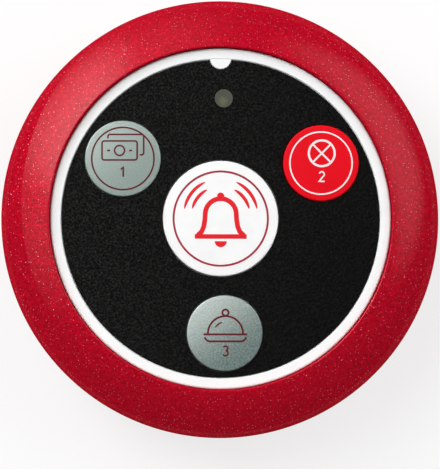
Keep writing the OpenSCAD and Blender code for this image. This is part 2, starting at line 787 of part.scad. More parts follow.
// Base cover: floor with pad recess, centring lip, screw posts and battery saddles
module base_cover() {
    edge = side_at(side_r, shell_z) - parting_gap;
    outline = concat(
        [[0, base_z]],
        arc([edge - base_edge_r, base_z + base_edge_r], base_edge_r, -90, 0, 8),
        [[edge, floor_z], [0, floor_z]]
    );
    color([0.1, 0.1, 0.11]) difference() {
        union() {
            rotate_extrude() polygon(outline);
            translate([0, 0, floor_z - eps]) ring(base_lip_r, base_lip_r - base_lip_t, base_lip_h + eps);
            at_each(boss_spots) translate([0, 0, floor_z - eps])
                cylinder(h = post_z - floor_z + eps, r = post_r);
            for (x = saddle_places) battery_saddle(x);
        }
        translate([0, 0, base_z - 1]) cylinder(h = pad_recess + 1, d = pad_d + 2 * fit_gap);
        battery_bar(contact_x, holder_l, battery_d + 2 * fit_gap);
        at_each(boss_spots) {
            translate([0, 0, base_z - 1]) cylinder(h = head_seat_z - base_z + 1, d = head_d + 2 * fit_gap);
            cylinder(h = post_z + 1, d = screw_d + 2 * fit_gap);
        }
    }
}

// Rib under the battery; the battery's room hollows its top
module battery_saddle(x) {
    reach = battery_d / 2 - fit_gap;
    translate([x - saddle_t / 2, battery_y - reach, floor_z - eps])
        cube([saddle_t, 2 * reach, battery_z - battery_d / 4 - floor_z]);
}

module seal_ring() {
    color([0.55, 0.56, 0.58]) translate([0, 0, floor_z])
        ring(skirt_r - fit_gap, base_lip_r + fit_gap, seal_h);
}

// Foam pad with a hole under each cover screw
module adhesive_pad() {
    color([0.9, 0.9, 0.86]) difference() {
        cylinder(h = pad_t, d = pad_d);
        at_each(boss_spots) translate([0, 0, -1]) cylinder(h = pad_t + 2, r = head_d / 2 + pad_hole_gap);
    }
}

outer_shell();
face_plate();
overlay_film();
led_lens();
call_key();
pay_key();
cancel_key();
order_key();
call_switch_base();
pay_switch_base();
cancel_switch_base();
order_switch_base();
call_switch_cover();
pay_switch_cover();
cancel_switch_cover();
order_switch_cover();
call_switch_plunger();
pay_switch_plunger();
cancel_switch_plunger();
order_switch_plunger();
snap_domes();
switch_legs();
circuit_board();
board_screws();
status_led();
encoder_chip();
radio_resonator();
radio_transistor();
chip_parts();
coil_aerial();
battery_holder();
battery_cell();
battery_terminal();
battery_spring();
battery_contact();
base_cover();
seal_ring();
cover_screws();
adhesive_pad();
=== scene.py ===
"""Looks of a round waiter call button: red pearl shell, white rimmed black face, four keys.

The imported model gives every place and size. This script adds the fine shell, the print on the
keys, the surface finishes, the light and the camera. Lengths are in metres, except that the
print is drawn in millimetres.
"""

from math import asin, atan2, ceil, cos, hypot, pi, radians, sin, sqrt

import bmesh
import bpy
from mathutils import Matrix, Vector
from mathutils.geometry import delaunay_2d_cdt


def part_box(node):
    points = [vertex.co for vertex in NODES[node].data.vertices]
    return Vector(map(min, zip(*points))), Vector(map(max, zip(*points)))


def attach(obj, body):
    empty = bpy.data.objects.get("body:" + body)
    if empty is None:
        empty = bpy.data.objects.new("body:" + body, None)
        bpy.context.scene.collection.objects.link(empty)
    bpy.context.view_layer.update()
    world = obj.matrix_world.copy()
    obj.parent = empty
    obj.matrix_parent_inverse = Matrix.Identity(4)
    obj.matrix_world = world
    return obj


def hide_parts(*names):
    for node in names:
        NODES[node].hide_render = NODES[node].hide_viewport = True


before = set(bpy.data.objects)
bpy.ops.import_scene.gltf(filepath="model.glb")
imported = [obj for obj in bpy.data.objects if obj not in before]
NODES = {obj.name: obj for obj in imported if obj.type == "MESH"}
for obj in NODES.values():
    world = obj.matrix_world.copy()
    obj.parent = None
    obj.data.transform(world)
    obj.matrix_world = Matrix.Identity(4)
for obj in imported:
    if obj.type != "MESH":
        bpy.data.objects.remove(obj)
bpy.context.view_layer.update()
MM = 0.001

# The photograph's frame in pixels, and where the object's outline lies in it
PHOTO_W, PHOTO_H = 440, 469
OUTLINE_X, OUTLINE_Y, OUTLINE_R = 220.0, 219.4, 218.65

# Where the camera stands, in degrees and metres, its sensor's width in millimetres, and the
# nearest and farthest it sees
CAMERA_AZIMUTH, CAMERA_ELEVATION = 228, 87.5
CAMERA_DISTANCE = 1.0
CAMERA_SENSOR = 36.0
CAMERA_CLIP = (0.05, 10.0)
# Share of the shell's height at which it is widest, where the outline is seen
WAIST_SHARE = 0.78

# Section of the shell, after the part's source, with a tighter lip and less room round the plate
CROWN_SLOPE = radians(10)
SHOULDER_SLOPE = radians(45)
LIP_R = 0.26 * MM
LIP_RISE = 0.8 * MM
LIP_CLEARANCE = 0.05 * MM
SHOULDER_R = 1.5 * MM
SIDE_R = 40 * MM
SHELL_WALL = 2 * MM
SEAT_DROP = 2.2 * MM
LEDGE_ROOM = 0.25 * MM
LEDGE_T = 1.6 * MM
COLLAR_T = 1.6 * MM
SKIRT_W = 0.7 * MM
SKIRT_H = 0.45 * MM
# Edges round the shell, and along its side, its two corners, its dome and its inner arcs
SHELL_TURNS = 256
SIDE_STEPS, CORNER_STEPS, DOME_STEPS, INNER_STEPS = 32, 14, 64, 24

# Crowned top of a key, as in the part's source
KEY_EDGE_R = 0.2 * MM
KEY_SLOPE = radians(2.6)
KEY_RIM_DEPTH = 0.5 * MM

# Thickness of the print, and how deep it reaches into the key
INK_T = 0.02 * MM
INK_SINK = 0.02 * MM
# In millimetres: longest step of a printed line, rings of the keys, and their lines
INK_STEP = 0.5
CALL_RING_R, CALL_RING_W = 6.45, 0.28
KEY_RING_R = 4.26
PAY_LINE, CANCEL_LINE, CROSS_LINE, ORDER_LINE = 0.22, 0.2, 0.3, 0.26

# Range in which nearly all values of a noise lie
NOISE_RANGE = (0.3, 0.7)
# Share of clear lacquer over the shell's flake, and how much of it is left where seen aslant
COAT = 0.33
COAT_ASLANT = 0.12 * COAT
# Bearings, in degrees from +X towards +Y, of the painted sheen that makes the film and the grey
# paint lightest on that side
FILM_SHEEN_BEARING = 160
PAINT_SHEEN_BEARING = 125

# Main light, a tall softbox at the upper left: brightness, and bearing and half width, in
# degrees, of its middle and of its faint wings
MAIN_LEVEL = 8.4
MAIN_SHARE, WING_SHARE = 0.8 * MAIN_LEVEL, 0.2 * MAIN_LEVEL
MAIN_BEARING, MAIN_HALF = 141, 30
WING_BEARING, WING_HALF = 146, 70
# It grows between two sines of elevation, and fades out between two elevations in degrees
MAIN_RISE = (-0.1, 0.9)
MAIN_TOP = (75, 81)
# A crisp edge runs through two directions, and fades between two sines of the angle past it
MAIN_EDGE = ((136, 5), (178, 31))
MAIN_EDGE_FADE = (-0.01, 0.02)
# Side light: brightness, direction and half width in degrees
SIDE_LEVEL = 2.7
SIDE_WAY, SIDE_HALF = (28, 41), 35
# Brightness of the room and of the horizon, and the elevations between which they meet
ROOM_LEVEL = 0.185
HORIZON_LEVEL = 0.95
HORIZON_FADE = (2, 5)

# Radius of the floor, its gap below the pad, and the share of its paleness that takes no shadow
FLOOR_R = 4.0
FLOOR_DROP = 0.1 * MM
FLOOR_STEADY = 0.75


def node_box(name):
    """Lowest corner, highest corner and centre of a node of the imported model."""
    low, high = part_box(name)
    return low, high, (low + high) / 2


SHELL_LOW, SHELL_HIGH, _ = node_box("outer_shell")
_, PLATE_HIGH, _ = node_box("face_plate")
_, FILM_HIGH, FILM_MID = node_box("overlay_film")
_, LENS_HIGH, LENS_MID = node_box("led_lens")


# ---------------------------------------------------------------- shapes

def direction(azimuth, elevation):
    """Unit vector; azimuth is counted from +X towards +Y, in degrees."""
    a, e = radians(azimuth), radians(elevation)
    return Vector((cos(a) * cos(e), sin(a) * cos(e), sin(e)))


def arc(centre, r, a, b, steps):
    """Points of an arc from angle a to angle b."""
    angles = [a + (b - a) * i / steps for i in range(steps + 1)]
    return [(centre[0] + r * cos(t), centre[1] + r * sin(t)) for t in angles]


def new_object(name, mesh, material):
    """An object in the scene that holds a mesh with one material."""
    obj = bpy.data.objects.new(name, mesh)
    mesh.materials.append(material)
    bpy.context.scene.collection.objects.link(obj)
    return obj


def finished_mesh(name, bm):
    """Writes a bmesh to a new mesh and frees it."""
    mesh = bpy.data.meshes.new(name)
    bm.to_mesh(mesh)
    bm.free()
    return mesh


def revolve(name, section, turns, material, sharp=40):
    """A closed section of (radius, height) points, turned round the z axis."""
    bm = bmesh.new()
    rows = [
        [bm.verts.new((r * cos(2 * pi * t / turns), r * sin(2 * pi * t / turns), z))
         for t in range(turns)]
        for r, z in section
    ]
    for row, after in zip(rows, rows[1:] + rows[:1]):
        for t in range(turns):
            u = (t + 1) % turns
            bm.faces.new((row[t], row[u], after[u], after[t]))
    bmesh.ops.recalc_face_normals(bm, faces=bm.faces)
    mesh = finished_mesh(name, bm)
    mesh.shade_smooth()
    mesh.set_sharp_from_angle(angle=radians(sharp))
    return new_object(name, mesh, material)


# ---------------------------------------------------------------- print

def divided(points, closed):
    """The same points with more between those that lie far apart."""
    out = []
    pairs = zip(points, points[1:] + points[:1] if closed else points[1:])
    for (x0, y0), (x1, y1) in pairs:
        steps = max(1, ceil(hypot(x1 - x0, y1 - y0) / INK_STEP))
        out += [(x0 + (x1 - x0) * i / steps, y0 + (y1 - y0) * i / steps) for i in range(steps)]
    return out if closed else out + [points[-1]]


def line(points, width, closed=False, ends=None):
    """A drawn line as a list of four-cornered cells; its width goes to ends at both tips."""
    points = divided(points, closed)
    count = len(points)
    total = count if closed else count - 1
    left, right = [], []
    for i, (x, y) in enumerate(points):
        before = points[i - 1] if closed or i > 0 else points[i]
        after = points[(i + 1) % count] if closed or i < count - 1 else points[i]
        a = Vector((x - before[0], y - before[1]))
        b = Vector((after[0] - x, after[1] - y))
        a = (a if a.length > 0 else b).normalized()
        b = (b if b.length > 0 else a).normalized()
        across = Vector((-a.y - b.y, a.x + b.x)).normalized()
        half = width / 2
        if ends is not None:
            t = abs(2 * i / (count - 1) - 1)
            half = (width + (ends - width) * t ** 3) / 2
        # A mitre is at most twice as long as the line is wide
        half /= max(across.dot(Vector((-a.y, a.x))), 0.5)
        left.append((x + across.x * half, y + across.y * half))
        right.append((x - across.x * half, y - across.y * half))
    nexts = [(i, (i + 1) % count) for i in range(total)]
    return [[right[i], right[n], left[n], left[i]] for i, n in nexts]


def circle_line(centre, r, width, steps=96):
    """A drawn circle."""
    return line(arc(centre, r, 0, 2 * pi * (1 - 1 / steps), steps - 1), width, closed=True)


def disc(centre, r, steps=32):
    """A filled circle."""
    return [arc(centre, r, 0, 2 * pi * (1 - 1 / steps), steps)]


def lower_half(centre, r, steps=20):
    """The lower half of a filled circle."""
    return [arc(centre, r, pi, 2 * pi, steps)]


def shifted(cells, dx, dy):
    """The same cells moved."""
    return [[(x + dx, y + dy) for x, y in cell] for cell in cells]


def mirrored(cells):
    """The same cells mirrored left to right."""
    return [[(-x, y) for x, y in reversed(cell)] for cell in cells]


def ink(name, cells, key, material, body):
    """Joins the cells, drawn round a key's centre, into one thin layer on its crowned top."""
    points, faces = [], []
    for cell in cells:
        faces.append(list(range(len(points), len(points) + len(cell))))
        points += [Vector(p) for p in cell]
    flat, _, tris, _, _, sources = delaunay_2d_cdt(points, [], faces, 1, 1e-5)
    bm = bmesh.new()
    verts = [
        bm.verts.new((key.x + p.x * MM, key.y + p.y * MM, key.height(p.length * MM) - INK_SINK))
        for p in flat
    ]
    for tri, source in zip(tris, sources):
        if source:
            bm.faces.new([verts[i] for i in tri])
    bmesh.ops.delete(bm, geom=[v for v in bm.verts if not v.link_faces], context="VERTS")
    raised = bmesh.ops.extrude_face_region(bm, geom=list(bm.faces))
    moved = [g for g in raised["geom"] if isinstance(g, bmesh.types.BMVert)]
    bmesh.ops.translate(bm, verts=moved, vec=(0, 0, INK_SINK + INK_T))
    bmesh.ops.recalc_face_normals(bm, faces=bm.faces)
    obj = new_object(name, finished_mesh(name, bm), material)
    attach(obj, body)


def numeral(which, height, width):
    """A plain 1, 2 or 3, centred on the origin."""
    h = height / 2
    if which == 1:
        return line([(-0.42 * h, 0.52 * h), (0.08 * h, h), (0.08 * h, -h)], width)
    if which == 2:
        r = 0.52 * h
        bow = arc((0, h - r), r, radians(165), radians(-38), 14)
        return line(bow + [(-0.56 * h, -h), (0.58 * h, -h)], width)
    top = arc((0, 0.48 * h), 0.47 * h, radians(155), radians(-88), 14)
    low = arc((0, -0.48 * h), 0.52 * h, radians(88), radians(-155), 14)
    return line(top, width) + line(low, width)


def bell():
    """A hand bell that rings: flared body, rim, clapper, crown and two waves on each side."""
    side = [(-3.15, -1.95), (-2.62, -1.45), (-2.32, -0.75), (-2.18, 0.1), (-2.12, 0.95)]
    top = arc((0, 0.95), 2.12, pi, 0, 24)
    body = side + top[1:-1] + [(-x, y) for x, y in reversed(side)]
    cells = line(body, 0.66) + line([(-3.55, -2.1), (3.55, -2.1)], 0.62)
    cells += lower_half((0, -2.75), 0.82) + disc((0, 3.42), 0.5)
    for r, reach in ((4.0, 24), (5.05, 27)):
        curve = arc((0, 0.75), r, radians(38 - reach), radians(38 + reach), 24)
        wave = line(curve, 0.46, ends=0.12)
        cells += wave + mirrored(wave)
    return cells


def rounded_box(x0, y0, x1, y1, r, steps=6):
    """Corner points of a rectangle with round corners."""
    return (
        arc((x1 - r, y1 - r), r, 0, pi / 2, steps)
        + arc((x0 + r, y1 - r), r, pi / 2, pi, steps)
        + arc((x0 + r, y0 + r), r, pi, 1.5 * pi, steps)
        + arc((x1 - r, y0 + r), r, 1.5 * pi, 2 * pi, steps)
    )


def banknotes(width):
    """Two banknotes, one behind the other, with a coin mark in the middle of the first."""
    cells = line(rounded_box(-2.85, -1.35, 1.95, 1.25, 0.3), width, closed=True)
    cells += circle_line((-0.45, -0.05), 0.68, width, 40)
    for x in (-2.15, 0.85):
        cells += line([(x, -0.05), (x + 0.4, -0.05)], width)
    behind = [(-2.05, 1.6)] + arc((-1.75, 1.85), 0.3, pi, pi / 2, 6)
    behind += arc((2.55, 1.85), 0.3, pi / 2, 0, 6) + arc((2.55, -0.35), 0.3, 0, -pi / 2, 6)
    return cells + line(behind + [(2.3, -0.65)], width)


def cloche(width):
    """A serving dome with a knob and a glint, on its tray."""
    cells = line(arc((0, -1.15), 2.4, pi, 0, 32), width)
    cells += line([(-3.0, -1.25), (3.0, -1.25)], width)
    cells += circle_line((0, 1.72), 0.42, width, 28)
    cells += line(arc((0, -1.15), 1.62, radians(150), radians(106), 12), width * 0.8, ends=0.1)
    tray = arc((-2.1, -1.45), 0.75, pi * 1.08, pi * 1.5, 8)
    tray += arc((2.1, -1.45), 0.75, pi * 1.5, pi * 1.92, 8)
    return cells + line(tray, width)


def crossed_circle(r, width):
    """A circle with a cross in it."""
    reach = r * sqrt(0.5)
    cells = circle_line((0, 0), r, width, 64)
    for s in (-1, 1):
        cells += line([(-reach, -s * reach), (reach, s * reach)], width * 0.82)
    return cells


# ---------------------------------------------------------------- materials

def scaled(colour, factor):
    """A lighter or darker colour of the same hue."""
    return tuple(factor * c for c in colour)


class Nodes:
    """A node tree with helpers that take plain values or sockets, and return sockets."""

    def __init__(self, tree):
        self.tree = tree
        tree.nodes.clear()

    def add(self, kind, **settings):
        """A new node with its settings."""
        node = self.tree.nodes.new(kind)
        for key, value in settings.items():
            setattr(node, key, value)
        return node

    def join(self, source, socket):
        """Links a socket to an input, or gives the input a plain value."""
        if isinstance(source, bpy.types.NodeSocket):
            self.tree.links.new(source, socket)
        else:
            socket.default_value = source

    def math(self, kind, a, b):
        """Result of an operation on two numbers."""
        node = self.add("ShaderNodeMath", operation=kind)
        self.join(a, node.inputs[0])
        self.join(b, node.inputs[1])
        return node.outputs["Value"]

    def vector(self, kind, *sources, scale=None, result="Vector"):
        """Result of an operation on vectors."""
        node = self.add("ShaderNodeVectorMath", operation=kind)
        for i, source in enumerate(sources):
            self.join(source, node.inputs[i])
        if scale is not None:
            self.join(scale, node.inputs["Scale"])
        return node.outputs[result]

    def spread(self, value, low, high, to_low=0.0, to_high=1.0, smooth=True):
        """Maps low..high to to_low..to_high, clamped."""
        kind = "SMOOTHSTEP" if smooth else "LINEAR"
        node = self.add("ShaderNodeMapRange", interpolation_type=kind)
        names = ("Value", "From Min", "From Max", "To Min", "To Max")
        for name, source in zip(names, (value, low, high, to_low, to_high)):
            self.join(source, node.inputs[name])
        return node.outputs["Result"]


class Finish(Nodes):
    """A material round one Principled shader, with helpers for procedural detail."""

    def __init__(self, name, colour, rough, metal=0.0, coat=0.0, coat_rough=0.03, specular=0.5):
        self.material = bpy.data.materials.new(name)
        self.material.use_nodes = True
        super().__init__(self.material.node_tree)
        self.out = self.add("ShaderNodeOutputMaterial")
        self.shader = self.add("ShaderNodeBsdfPrincipled")
        self.join(self.shader.outputs["BSDF"], self.out.inputs["Surface"])
        self.set("Base Color", (*colour, 1))
        self.set("Roughness", rough)
        self.set("Metallic", metal)
        self.set("Coat Weight", coat)
        self.set("Coat Roughness", coat_rough)
        self.set("Specular IOR Level", specular)
        self.coords = self.add("ShaderNodeTexCoord").outputs["Object"]

    def set(self, name, source):
        """Gives one of the shader's sockets a value or a link."""
        self.join(source, self.shader.inputs[name])

    def noise(self, per_mm, detail=2.0, rough=0.5, stretch=(1, 1, 1), turn=0.0):
        """Noise with a given number of features per millimetre, 0 to 1."""
        place = self.add("ShaderNodeMapping")
        self.join(self.coords, place.inputs["Vector"])
        self.join([s * per_mm / MM for s in stretch], place.inputs["Scale"])
        self.join((0, 0, turn), place.inputs["Rotation"])
        node = self.add("ShaderNodeTexNoise")
        self.join(place.outputs["Vector"], node.inputs["Vector"])
        self.join(1.0, node.inputs["Scale"])
        self.join(detail, node.inputs["Detail"])
        self.join(rough, node.inputs["Roughness"])
        return node.outputs["Fac"]

    def widen(self, noise, to_low=0.0, to_high=1.0):
        """Spreads the usual range of a noise over the whole of another range."""
        return self.spread(noise, *NOISE_RANGE, to_low, to_high)

    def cells(self, per_mm, feature="F1"):
        """Voronoi cells with a given number per millimetre."""
        node = self.add("ShaderNodeTexVoronoi", feature=feature)
        self.join(self.coords, node.inputs["Vector"])
        self.join(per_mm / MM, node.inputs["Scale"])
        return node

    def blend(self, fac, a, b):
        """Colour a where fac is 0 and b where it is 1."""
        node = self.add("ShaderNodeMix", data_type="RGBA")
        self.join(fac, node.inputs["Factor"])
        for name, colour in (("A", a), ("B", b)):
            socket = next(s for s in node.inputs if s.name == name and s.type == "RGBA")
            plain = not isinstance(colour, bpy.types.NodeSocket)
            self.join((*colour, 1) if plain else colour, socket)
        return next(s for s in node.outputs if s.type == "RGBA")

    def slope(self, middle, bearing, reach, low, high):
        """A value that goes from low to high across a face, towards a bearing in degrees."""
        towards = direction(bearing, 0)
        along = self.vector("DOT_PRODUCT", self.coords, towards, result="Value")
        at = middle.dot(towards)
        return self.spread(along, at - reach, at + reach, low, high)

    def scatter(self, colour, size):
        """A random direction of up to half the size each way, from a random colour."""
        return self.vector("MULTIPLY_ADD", colour, (size,) * 3, (-size / 2,) * 3)

    def bump(self, height, depth_mm):
        """A bump of a given depth in millimetres for a height of 0 to 1, set on the shader."""
        node = self.add("ShaderNodeBump")
        self.join(1.0, node.inputs["Strength"])
        self.join(depth_mm * MM, node.inputs["Distance"])
        self.join(height, node.inputs["Height"])
        self.set("Normal", node.outputs["Normal"])


def pearl_red():
    """Deep red lacquer over fine metal flake, with scattered larger flakes that glint."""
    red, pink = (0.455, 0.002, 0.0155), (0.66, 0.2, 0.26)
    f = Finish("shell_red_pearl", red, 0.36, coat=COAT, coat_rough=0.02, specular=0.0)
    f.set("Specular Tint", (0.6, 0.02, 0.04, 1))
    fine, large = f.cells(5.0), f.cells(2.9)
    pick = f.add("ShaderNodeSeparateColor")
    f.join(large.outputs["Color"], pick.inputs["Color"])
    near = f.spread(large.outputs["Distance"], 0.08, 0.25, 1.0, 0.0)
    speck = f.math("MULTIPLY", near, f.spread(pick.outputs["Red"], 0.25, 0.75))
    lean = f.vector("SCALE", f.scatter(large.outputs["Color"], 0.75), scale=speck)
    surface = f.add("ShaderNodeNewGeometry").outputs["Normal"]
    tilted = f.vector("ADD", surface, f.scatter(fine.outputs["Color"], 0.34))
    f.set("Normal", f.vector("NORMALIZE", f.vector("ADD", tilted, lean)))
    base = f.blend(f.widen(f.noise(2.6, 3.0)), scaled(red, 0.8), scaled(red, 1.14))
    f.set("Base Color", f.blend(speck, base, pink))
    f.set("Metallic", f.spread(speck, 0, 1, 0.2, 0.75))
    f.set("Roughness", f.spread(speck, 0, 1, 0.36, 0.3))
    away = f.add("ShaderNodeLayerWeight")
    f.join(0.5, away.inputs["Blend"])
    f.set("Coat Weight", f.spread(away.outputs["Facing"], 0.2, 0.4, COAT, COAT_ASLANT))
    return f.material


def pebbled_film():
    """Black polycarbonate film with a fine pebble grain, a few brighter grains, and a painted sheen
    towards one side.
    """
    f = Finish("film_black_pebble", (0.005, 0.005, 0.005), 0.5, specular=0.05)
    grain = f.cells(3.4, "SMOOTH_F1").outputs["Distance"]
    f.bump(f.math("ADD", grain, f.math("MULTIPLY", f.noise(9.0), 0.4)), 0.05)
    light = f.spread(f.noise(3.6, 3.0, 0.65), 0.38, 0.8)
    # Painted sheen: the brighter grains are painted brighter towards the side the light falls from,
    # and fade away from it
    light = f.math("MULTIPLY", light, f.slope(FILM_MID, FILM_SHEEN_BEARING, FILM_HIGH.x, 0.3, 1.0))
    f.set("Base Color", f.blend(light, (0.001, 0.001, 0.0009), (0.026, 0.026, 0.0235)))
    f.set("Roughness", f.widen(f.noise(0.6), 0.46, 0.56))
    return f.material


def satin_plastic(name, colour, rough=0.38, grain=0.006, coat=0.0, specular=0.5):
    """Moulded plastic with a very fine grain and a slight unevenness of tone."""
    f = Finish(name, colour, rough, coat=coat, coat_rough=0.12, specular=specular)
    f.bump(f.noise(6.0, 3.0), grain)
    f.set("Base Color", f.blend(f.widen(f.noise(0.35, 3.0)), scaled(colour, 0.965), colour))
    f.set("Roughness", f.widen(f.noise(1.4), rough - 0.05, rough + 0.05))
    return f.material


def silver_green(name, key, dark, light):
    """Satin metallic paint of a light grey green, brushed, with a painted sheen: lighter towards
    one side, where the light falls.
    """
    low, high, middle = node_box(key)
    f = Finish(name, light, 0.42, metal=0.45, specular=0.45)
    brushed = f.noise(7.0, 2.0, 0.6, stretch=(0.12, 1, 1), turn=radians(40))
    f.bump(brushed, 0.012)
    # Painted sheen and shade: the colour goes from dark to light towards the sheen bearing, where
    # the light falls, with a little random tone on top
    reach = (high.x - low.x) / 2
    middle = middle + 0.35 * reach * direction(PAINT_SHEEN_BEARING, 0)
    tone = f.widen(f.noise(4.5, 3.0, 0.7), 0.0, 0.3)
    tone = f.math("ADD", tone, f.slope(middle, PAINT_SHEEN_BEARING, reach, 0.0, 0.7))
    f.set("Base Color", f.blend(tone, dark, light))
    f.set("Roughness", f.widen(brushed, 0.36, 0.5))
    return f.material


def printing_ink(name, colour):
    """Screen printing ink: flat colour with a slightly uneven surface."""
    f = Finish(name, colour, 0.45, specular=0.2)
    f.bump(f.noise(12.0), 0.004)
    f.set("Base Color", f.blend(f.widen(f.noise(5.0)), scaled(colour, 0.88), colour))
    return f.material


def smoked_lens():
    """Smoked lens: dark grey green, with the lamp behind it as a dull yellow green patch."""
    dark, patch = (0.06, 0.064, 0.05), (0.125, 0.12, 0.055)
    lamp = (LENS_MID.x - 0.1 * MM, LENS_MID.y - 0.4 * MM, LENS_HIGH.z)
    f = Finish("lens_smoked", dark, 0.3, coat=0.4, coat_rough=0.08)
    away = f.vector("DISTANCE", f.coords, lamp, result="Value")
    glow = f.spread(away, 0.15 * MM, 0.95 * MM, 1.0, 0.0)
    mottled = f.math("MULTIPLY", glow, f.spread(f.noise(3.5, 3.0), 0.3, 0.75, 0.55, 1.0))
    f.set("Base Color", f.blend(mottled, dark, patch))
    f.bump(f.noise(5.0), 0.01)
    return f.material


def spark_plastic(name, colour, rough=0.55):
    """Moulded plastic with a spark eroded texture."""
    f = Finish(name, colour, rough, specular=0.4)
    f.bump(f.math("ADD", f.noise(4.5, 3.0, 0.65), f.math("MULTIPLY", f.noise(11.0), 0.35)), 0.03)
    tone = f.spread(f.noise(6.0), 0.35, 0.75)
    f.set("Base Color", f.blend(tone, colour, scaled(colour, 1.9)))
    return f.material


def brushed_metal(name, colour, rough=0.32):
    """Drawn or stamped sheet metal with fine lines."""
    f = Finish(name, colour, rough, metal=1.0)
    lines = f.noise(8.0, 3.0, 0.6, stretch=(1, 0.15, 1))
    f.bump(lines, 0.006)
    f.set("Base Color", f.blend(f.widen(lines), scaled(colour, 0.8), colour))
    f.set("Roughness", f.widen(f.noise(0.8), rough - 0.06, rough + 0.08))
    return f.material


def foam():
    """Closed cell foam: fine pores, painted darker in their hollows as painted shade, and a soft
    matte surface.
    """
    colour = (0.74, 0.73, 0.68)
    f = Finish("pad_foam_cells", colour, 0.9, specular=0.2)
    pores = f.cells(3.0, "SMOOTH_F1").outputs["Distance"]
    f.bump(pores, 0.12)
    # Painted shade: the hollows of the pores are painted darker
    f.set("Base Color", f.blend(f.spread(pores, 0.1, 0.6), scaled(colour, 0.72), colour))
    return f.material


def board_mask():
    """Green solder mask with lighter copper tracks under it."""
    f = Finish("board_solder_mask", (0.008, 0.09, 0.035), 0.3, coat=0.6, coat_rough=0.1)
    bricks = f.add("ShaderNodeTexBrick", offset=0.37, squash=1.0)
    f.join(f.coords, bricks.inputs["Vector"])
    f.join(1 / (9 * MM), bricks.inputs["Scale"])
    f.join(0.03, bricks.inputs["Mortar Size"])
    f.join(0.1, bricks.inputs["Mortar Smooth"])
    tracks = bricks.outputs["Fac"]
    f.set("Base Color", f.blend(tracks, (0.008, 0.085, 0.033), (0.03, 0.2, 0.08)))
    f.bump(tracks, 0.03)
    return f.material


def wrapped_cell():
    """Plain printed sleeve of the battery: a warm band and a dark band, no lettering."""
    low, high, _ = node_box("battery_cell")
    f = Finish("battery_sleeve", (0.6, 0.42, 0.06), 0.28, coat=0.5, coat_rough=0.1)
    apart = f.add("ShaderNodeSeparateXYZ")
    f.join(f.coords, apart.inputs["Vector"])
    edge = low.x + 0.3 * (high.x - low.x)
    band = f.spread(apart.outputs["X"], edge - 0.1 * MM, edge + 0.1 * MM)
    f.set("Base Color", f.blend(band, (0.02, 0.02, 0.022), (0.62, 0.43, 0.07)))
    f.bump(f.noise(3.0), 0.01)
    return f.material


# ---------------------------------------------------------------- pieces

def shell_section():
    """Closed section of the shell, from the foot over shoulder and dome to the lip, then inside."""
    rim, low, high = SHELL_HIGH.x, SHELL_LOW.z, PLATE_HIGH.z + LIP_RISE
    opening, ledge = PLATE_HIGH.x + LIP_CLEARANCE, FILM_HIGH.x + LEDGE_ROOM
    seat = PLATE_HIGH.z - SEAT_DROP
    lip = (opening + LIP_R, high - LIP_R)
    crown_x = lip[0] + LIP_R * sin(CROWN_SLOPE)
    shoulder_x = rim - SHOULDER_R * (1 - sin(SHOULDER_SLOPE))
    dome_r = (shoulder_x - crown_x) / (sin(SHOULDER_SLOPE) - sin(CROWN_SLOPE))
    dome = (crown_x - dome_r * sin(CROWN_SLOPE), lip[1] + (LIP_R - dome_r) * cos(CROWN_SLOPE))
    waist = dome[1] + (dome_r - SHOULDER_R) * cos(SHOULDER_SLOPE)
    side, shoulder = (rim - SIDE_R, waist), (rim - SHOULDER_R, waist)
    crown_end, dome_end = pi / 2 - CROWN_SLOPE, pi / 2 - SHOULDER_SLOPE
    outside = (
        arc(side, SIDE_R, -asin((waist - low) / SIDE_R), 0, SIDE_STEPS)
        + arc(shoulder, SHOULDER_R, 0, dome_end, CORNER_STEPS)[1:]
        + arc(dome, dome_r, dome_end, crown_end, DOME_STEPS)[1:]
        + arc(lip, LIP_R, crown_end, pi, CORNER_STEPS)[1:]
    )
    side_in, dome_in = SIDE_R - SHELL_WALL, dome_r - SHELL_WALL
    side_meet, dome_meet = meeting_angles(side, side_in, dome, dome_in)
    under_ledge, collar, skirt_z = seat - LEDGE_T, opening + COLLAR_T, low + SKIRT_H
    skirt_x = outside[0][0] - SKIRT_W
    inside = (
        [(opening, seat), (ledge, seat), (ledge, under_ledge), (collar, under_ledge)]
        + arc(dome, dome_in, angle_at(collar - dome[0], dome_in), dome_meet, INNER_STEPS)
        + arc(side, side_in, side_meet, -asin((waist - skirt_z) / side_in), INNER_STEPS)
        + [(skirt_x, skirt_z), (skirt_x, low)]
    )
    return outside + inside


def angle_at(x, r):
    """Angle on a circle of radius r at which the point lies x to the right of the centre."""
    return atan2(sqrt(r * r - x * x), x)


def meeting_angles(c0, r0, c1, r1):
    """Angles, on two circles, of their upper meeting point."""
    dx, dz = c1[0] - c0[0], c1[1] - c0[1]
    d = hypot(dx, dz)
    along = (r0 * r0 - r1 * r1 + d * d) / (2 * d)
    up = sqrt(max(r0 * r0 - along * along, 0))
    meets = [
        (c0[0] + (along * dx - s * up * dz) / d, c0[1] + (along * dz + s * up * dx) / d)
        for s in (-1, 1)
    ]
    x, z = max(meets, key=lambda meet: meet[1])
    return atan2(z - c0[1], x - c0[0]), atan2(z - c1[1], x - c1[0])


def make_shell():
    """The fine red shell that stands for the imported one."""
    shell = revolve("shell", shell_section(), SHELL_TURNS, pearl_red())
    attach(shell, "housing")
    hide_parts("outer_shell")


class KeyTop:
    """Centre of a key's crowned top, and its height at any distance from the centre."""

    def __init__(self, name):
        points = [v.co for v in NODES[name].data.vertices]
        self.top = max(p.z for p in points)
        cap = [p for p in points if p.z > self.top - KEY_RIM_DEPTH]
        x0, x1 = min(p.x for p in cap), max(p.x for p in cap)
        y0, y1 = min(p.y for p in cap), max(p.y for p in cap)
        self.x, self.y = (x0 + x1) / 2, (y0 + y1) / 2
        self.crown_r = KEY_EDGE_R + ((x1 - x0) / 2 - KEY_EDGE_R) / sin(KEY_SLOPE)

    def height(self, r):
        """Height of the crown at a distance r from its centre."""
        return self.top - (self.crown_r - sqrt(self.crown_r ** 2 - r * r))


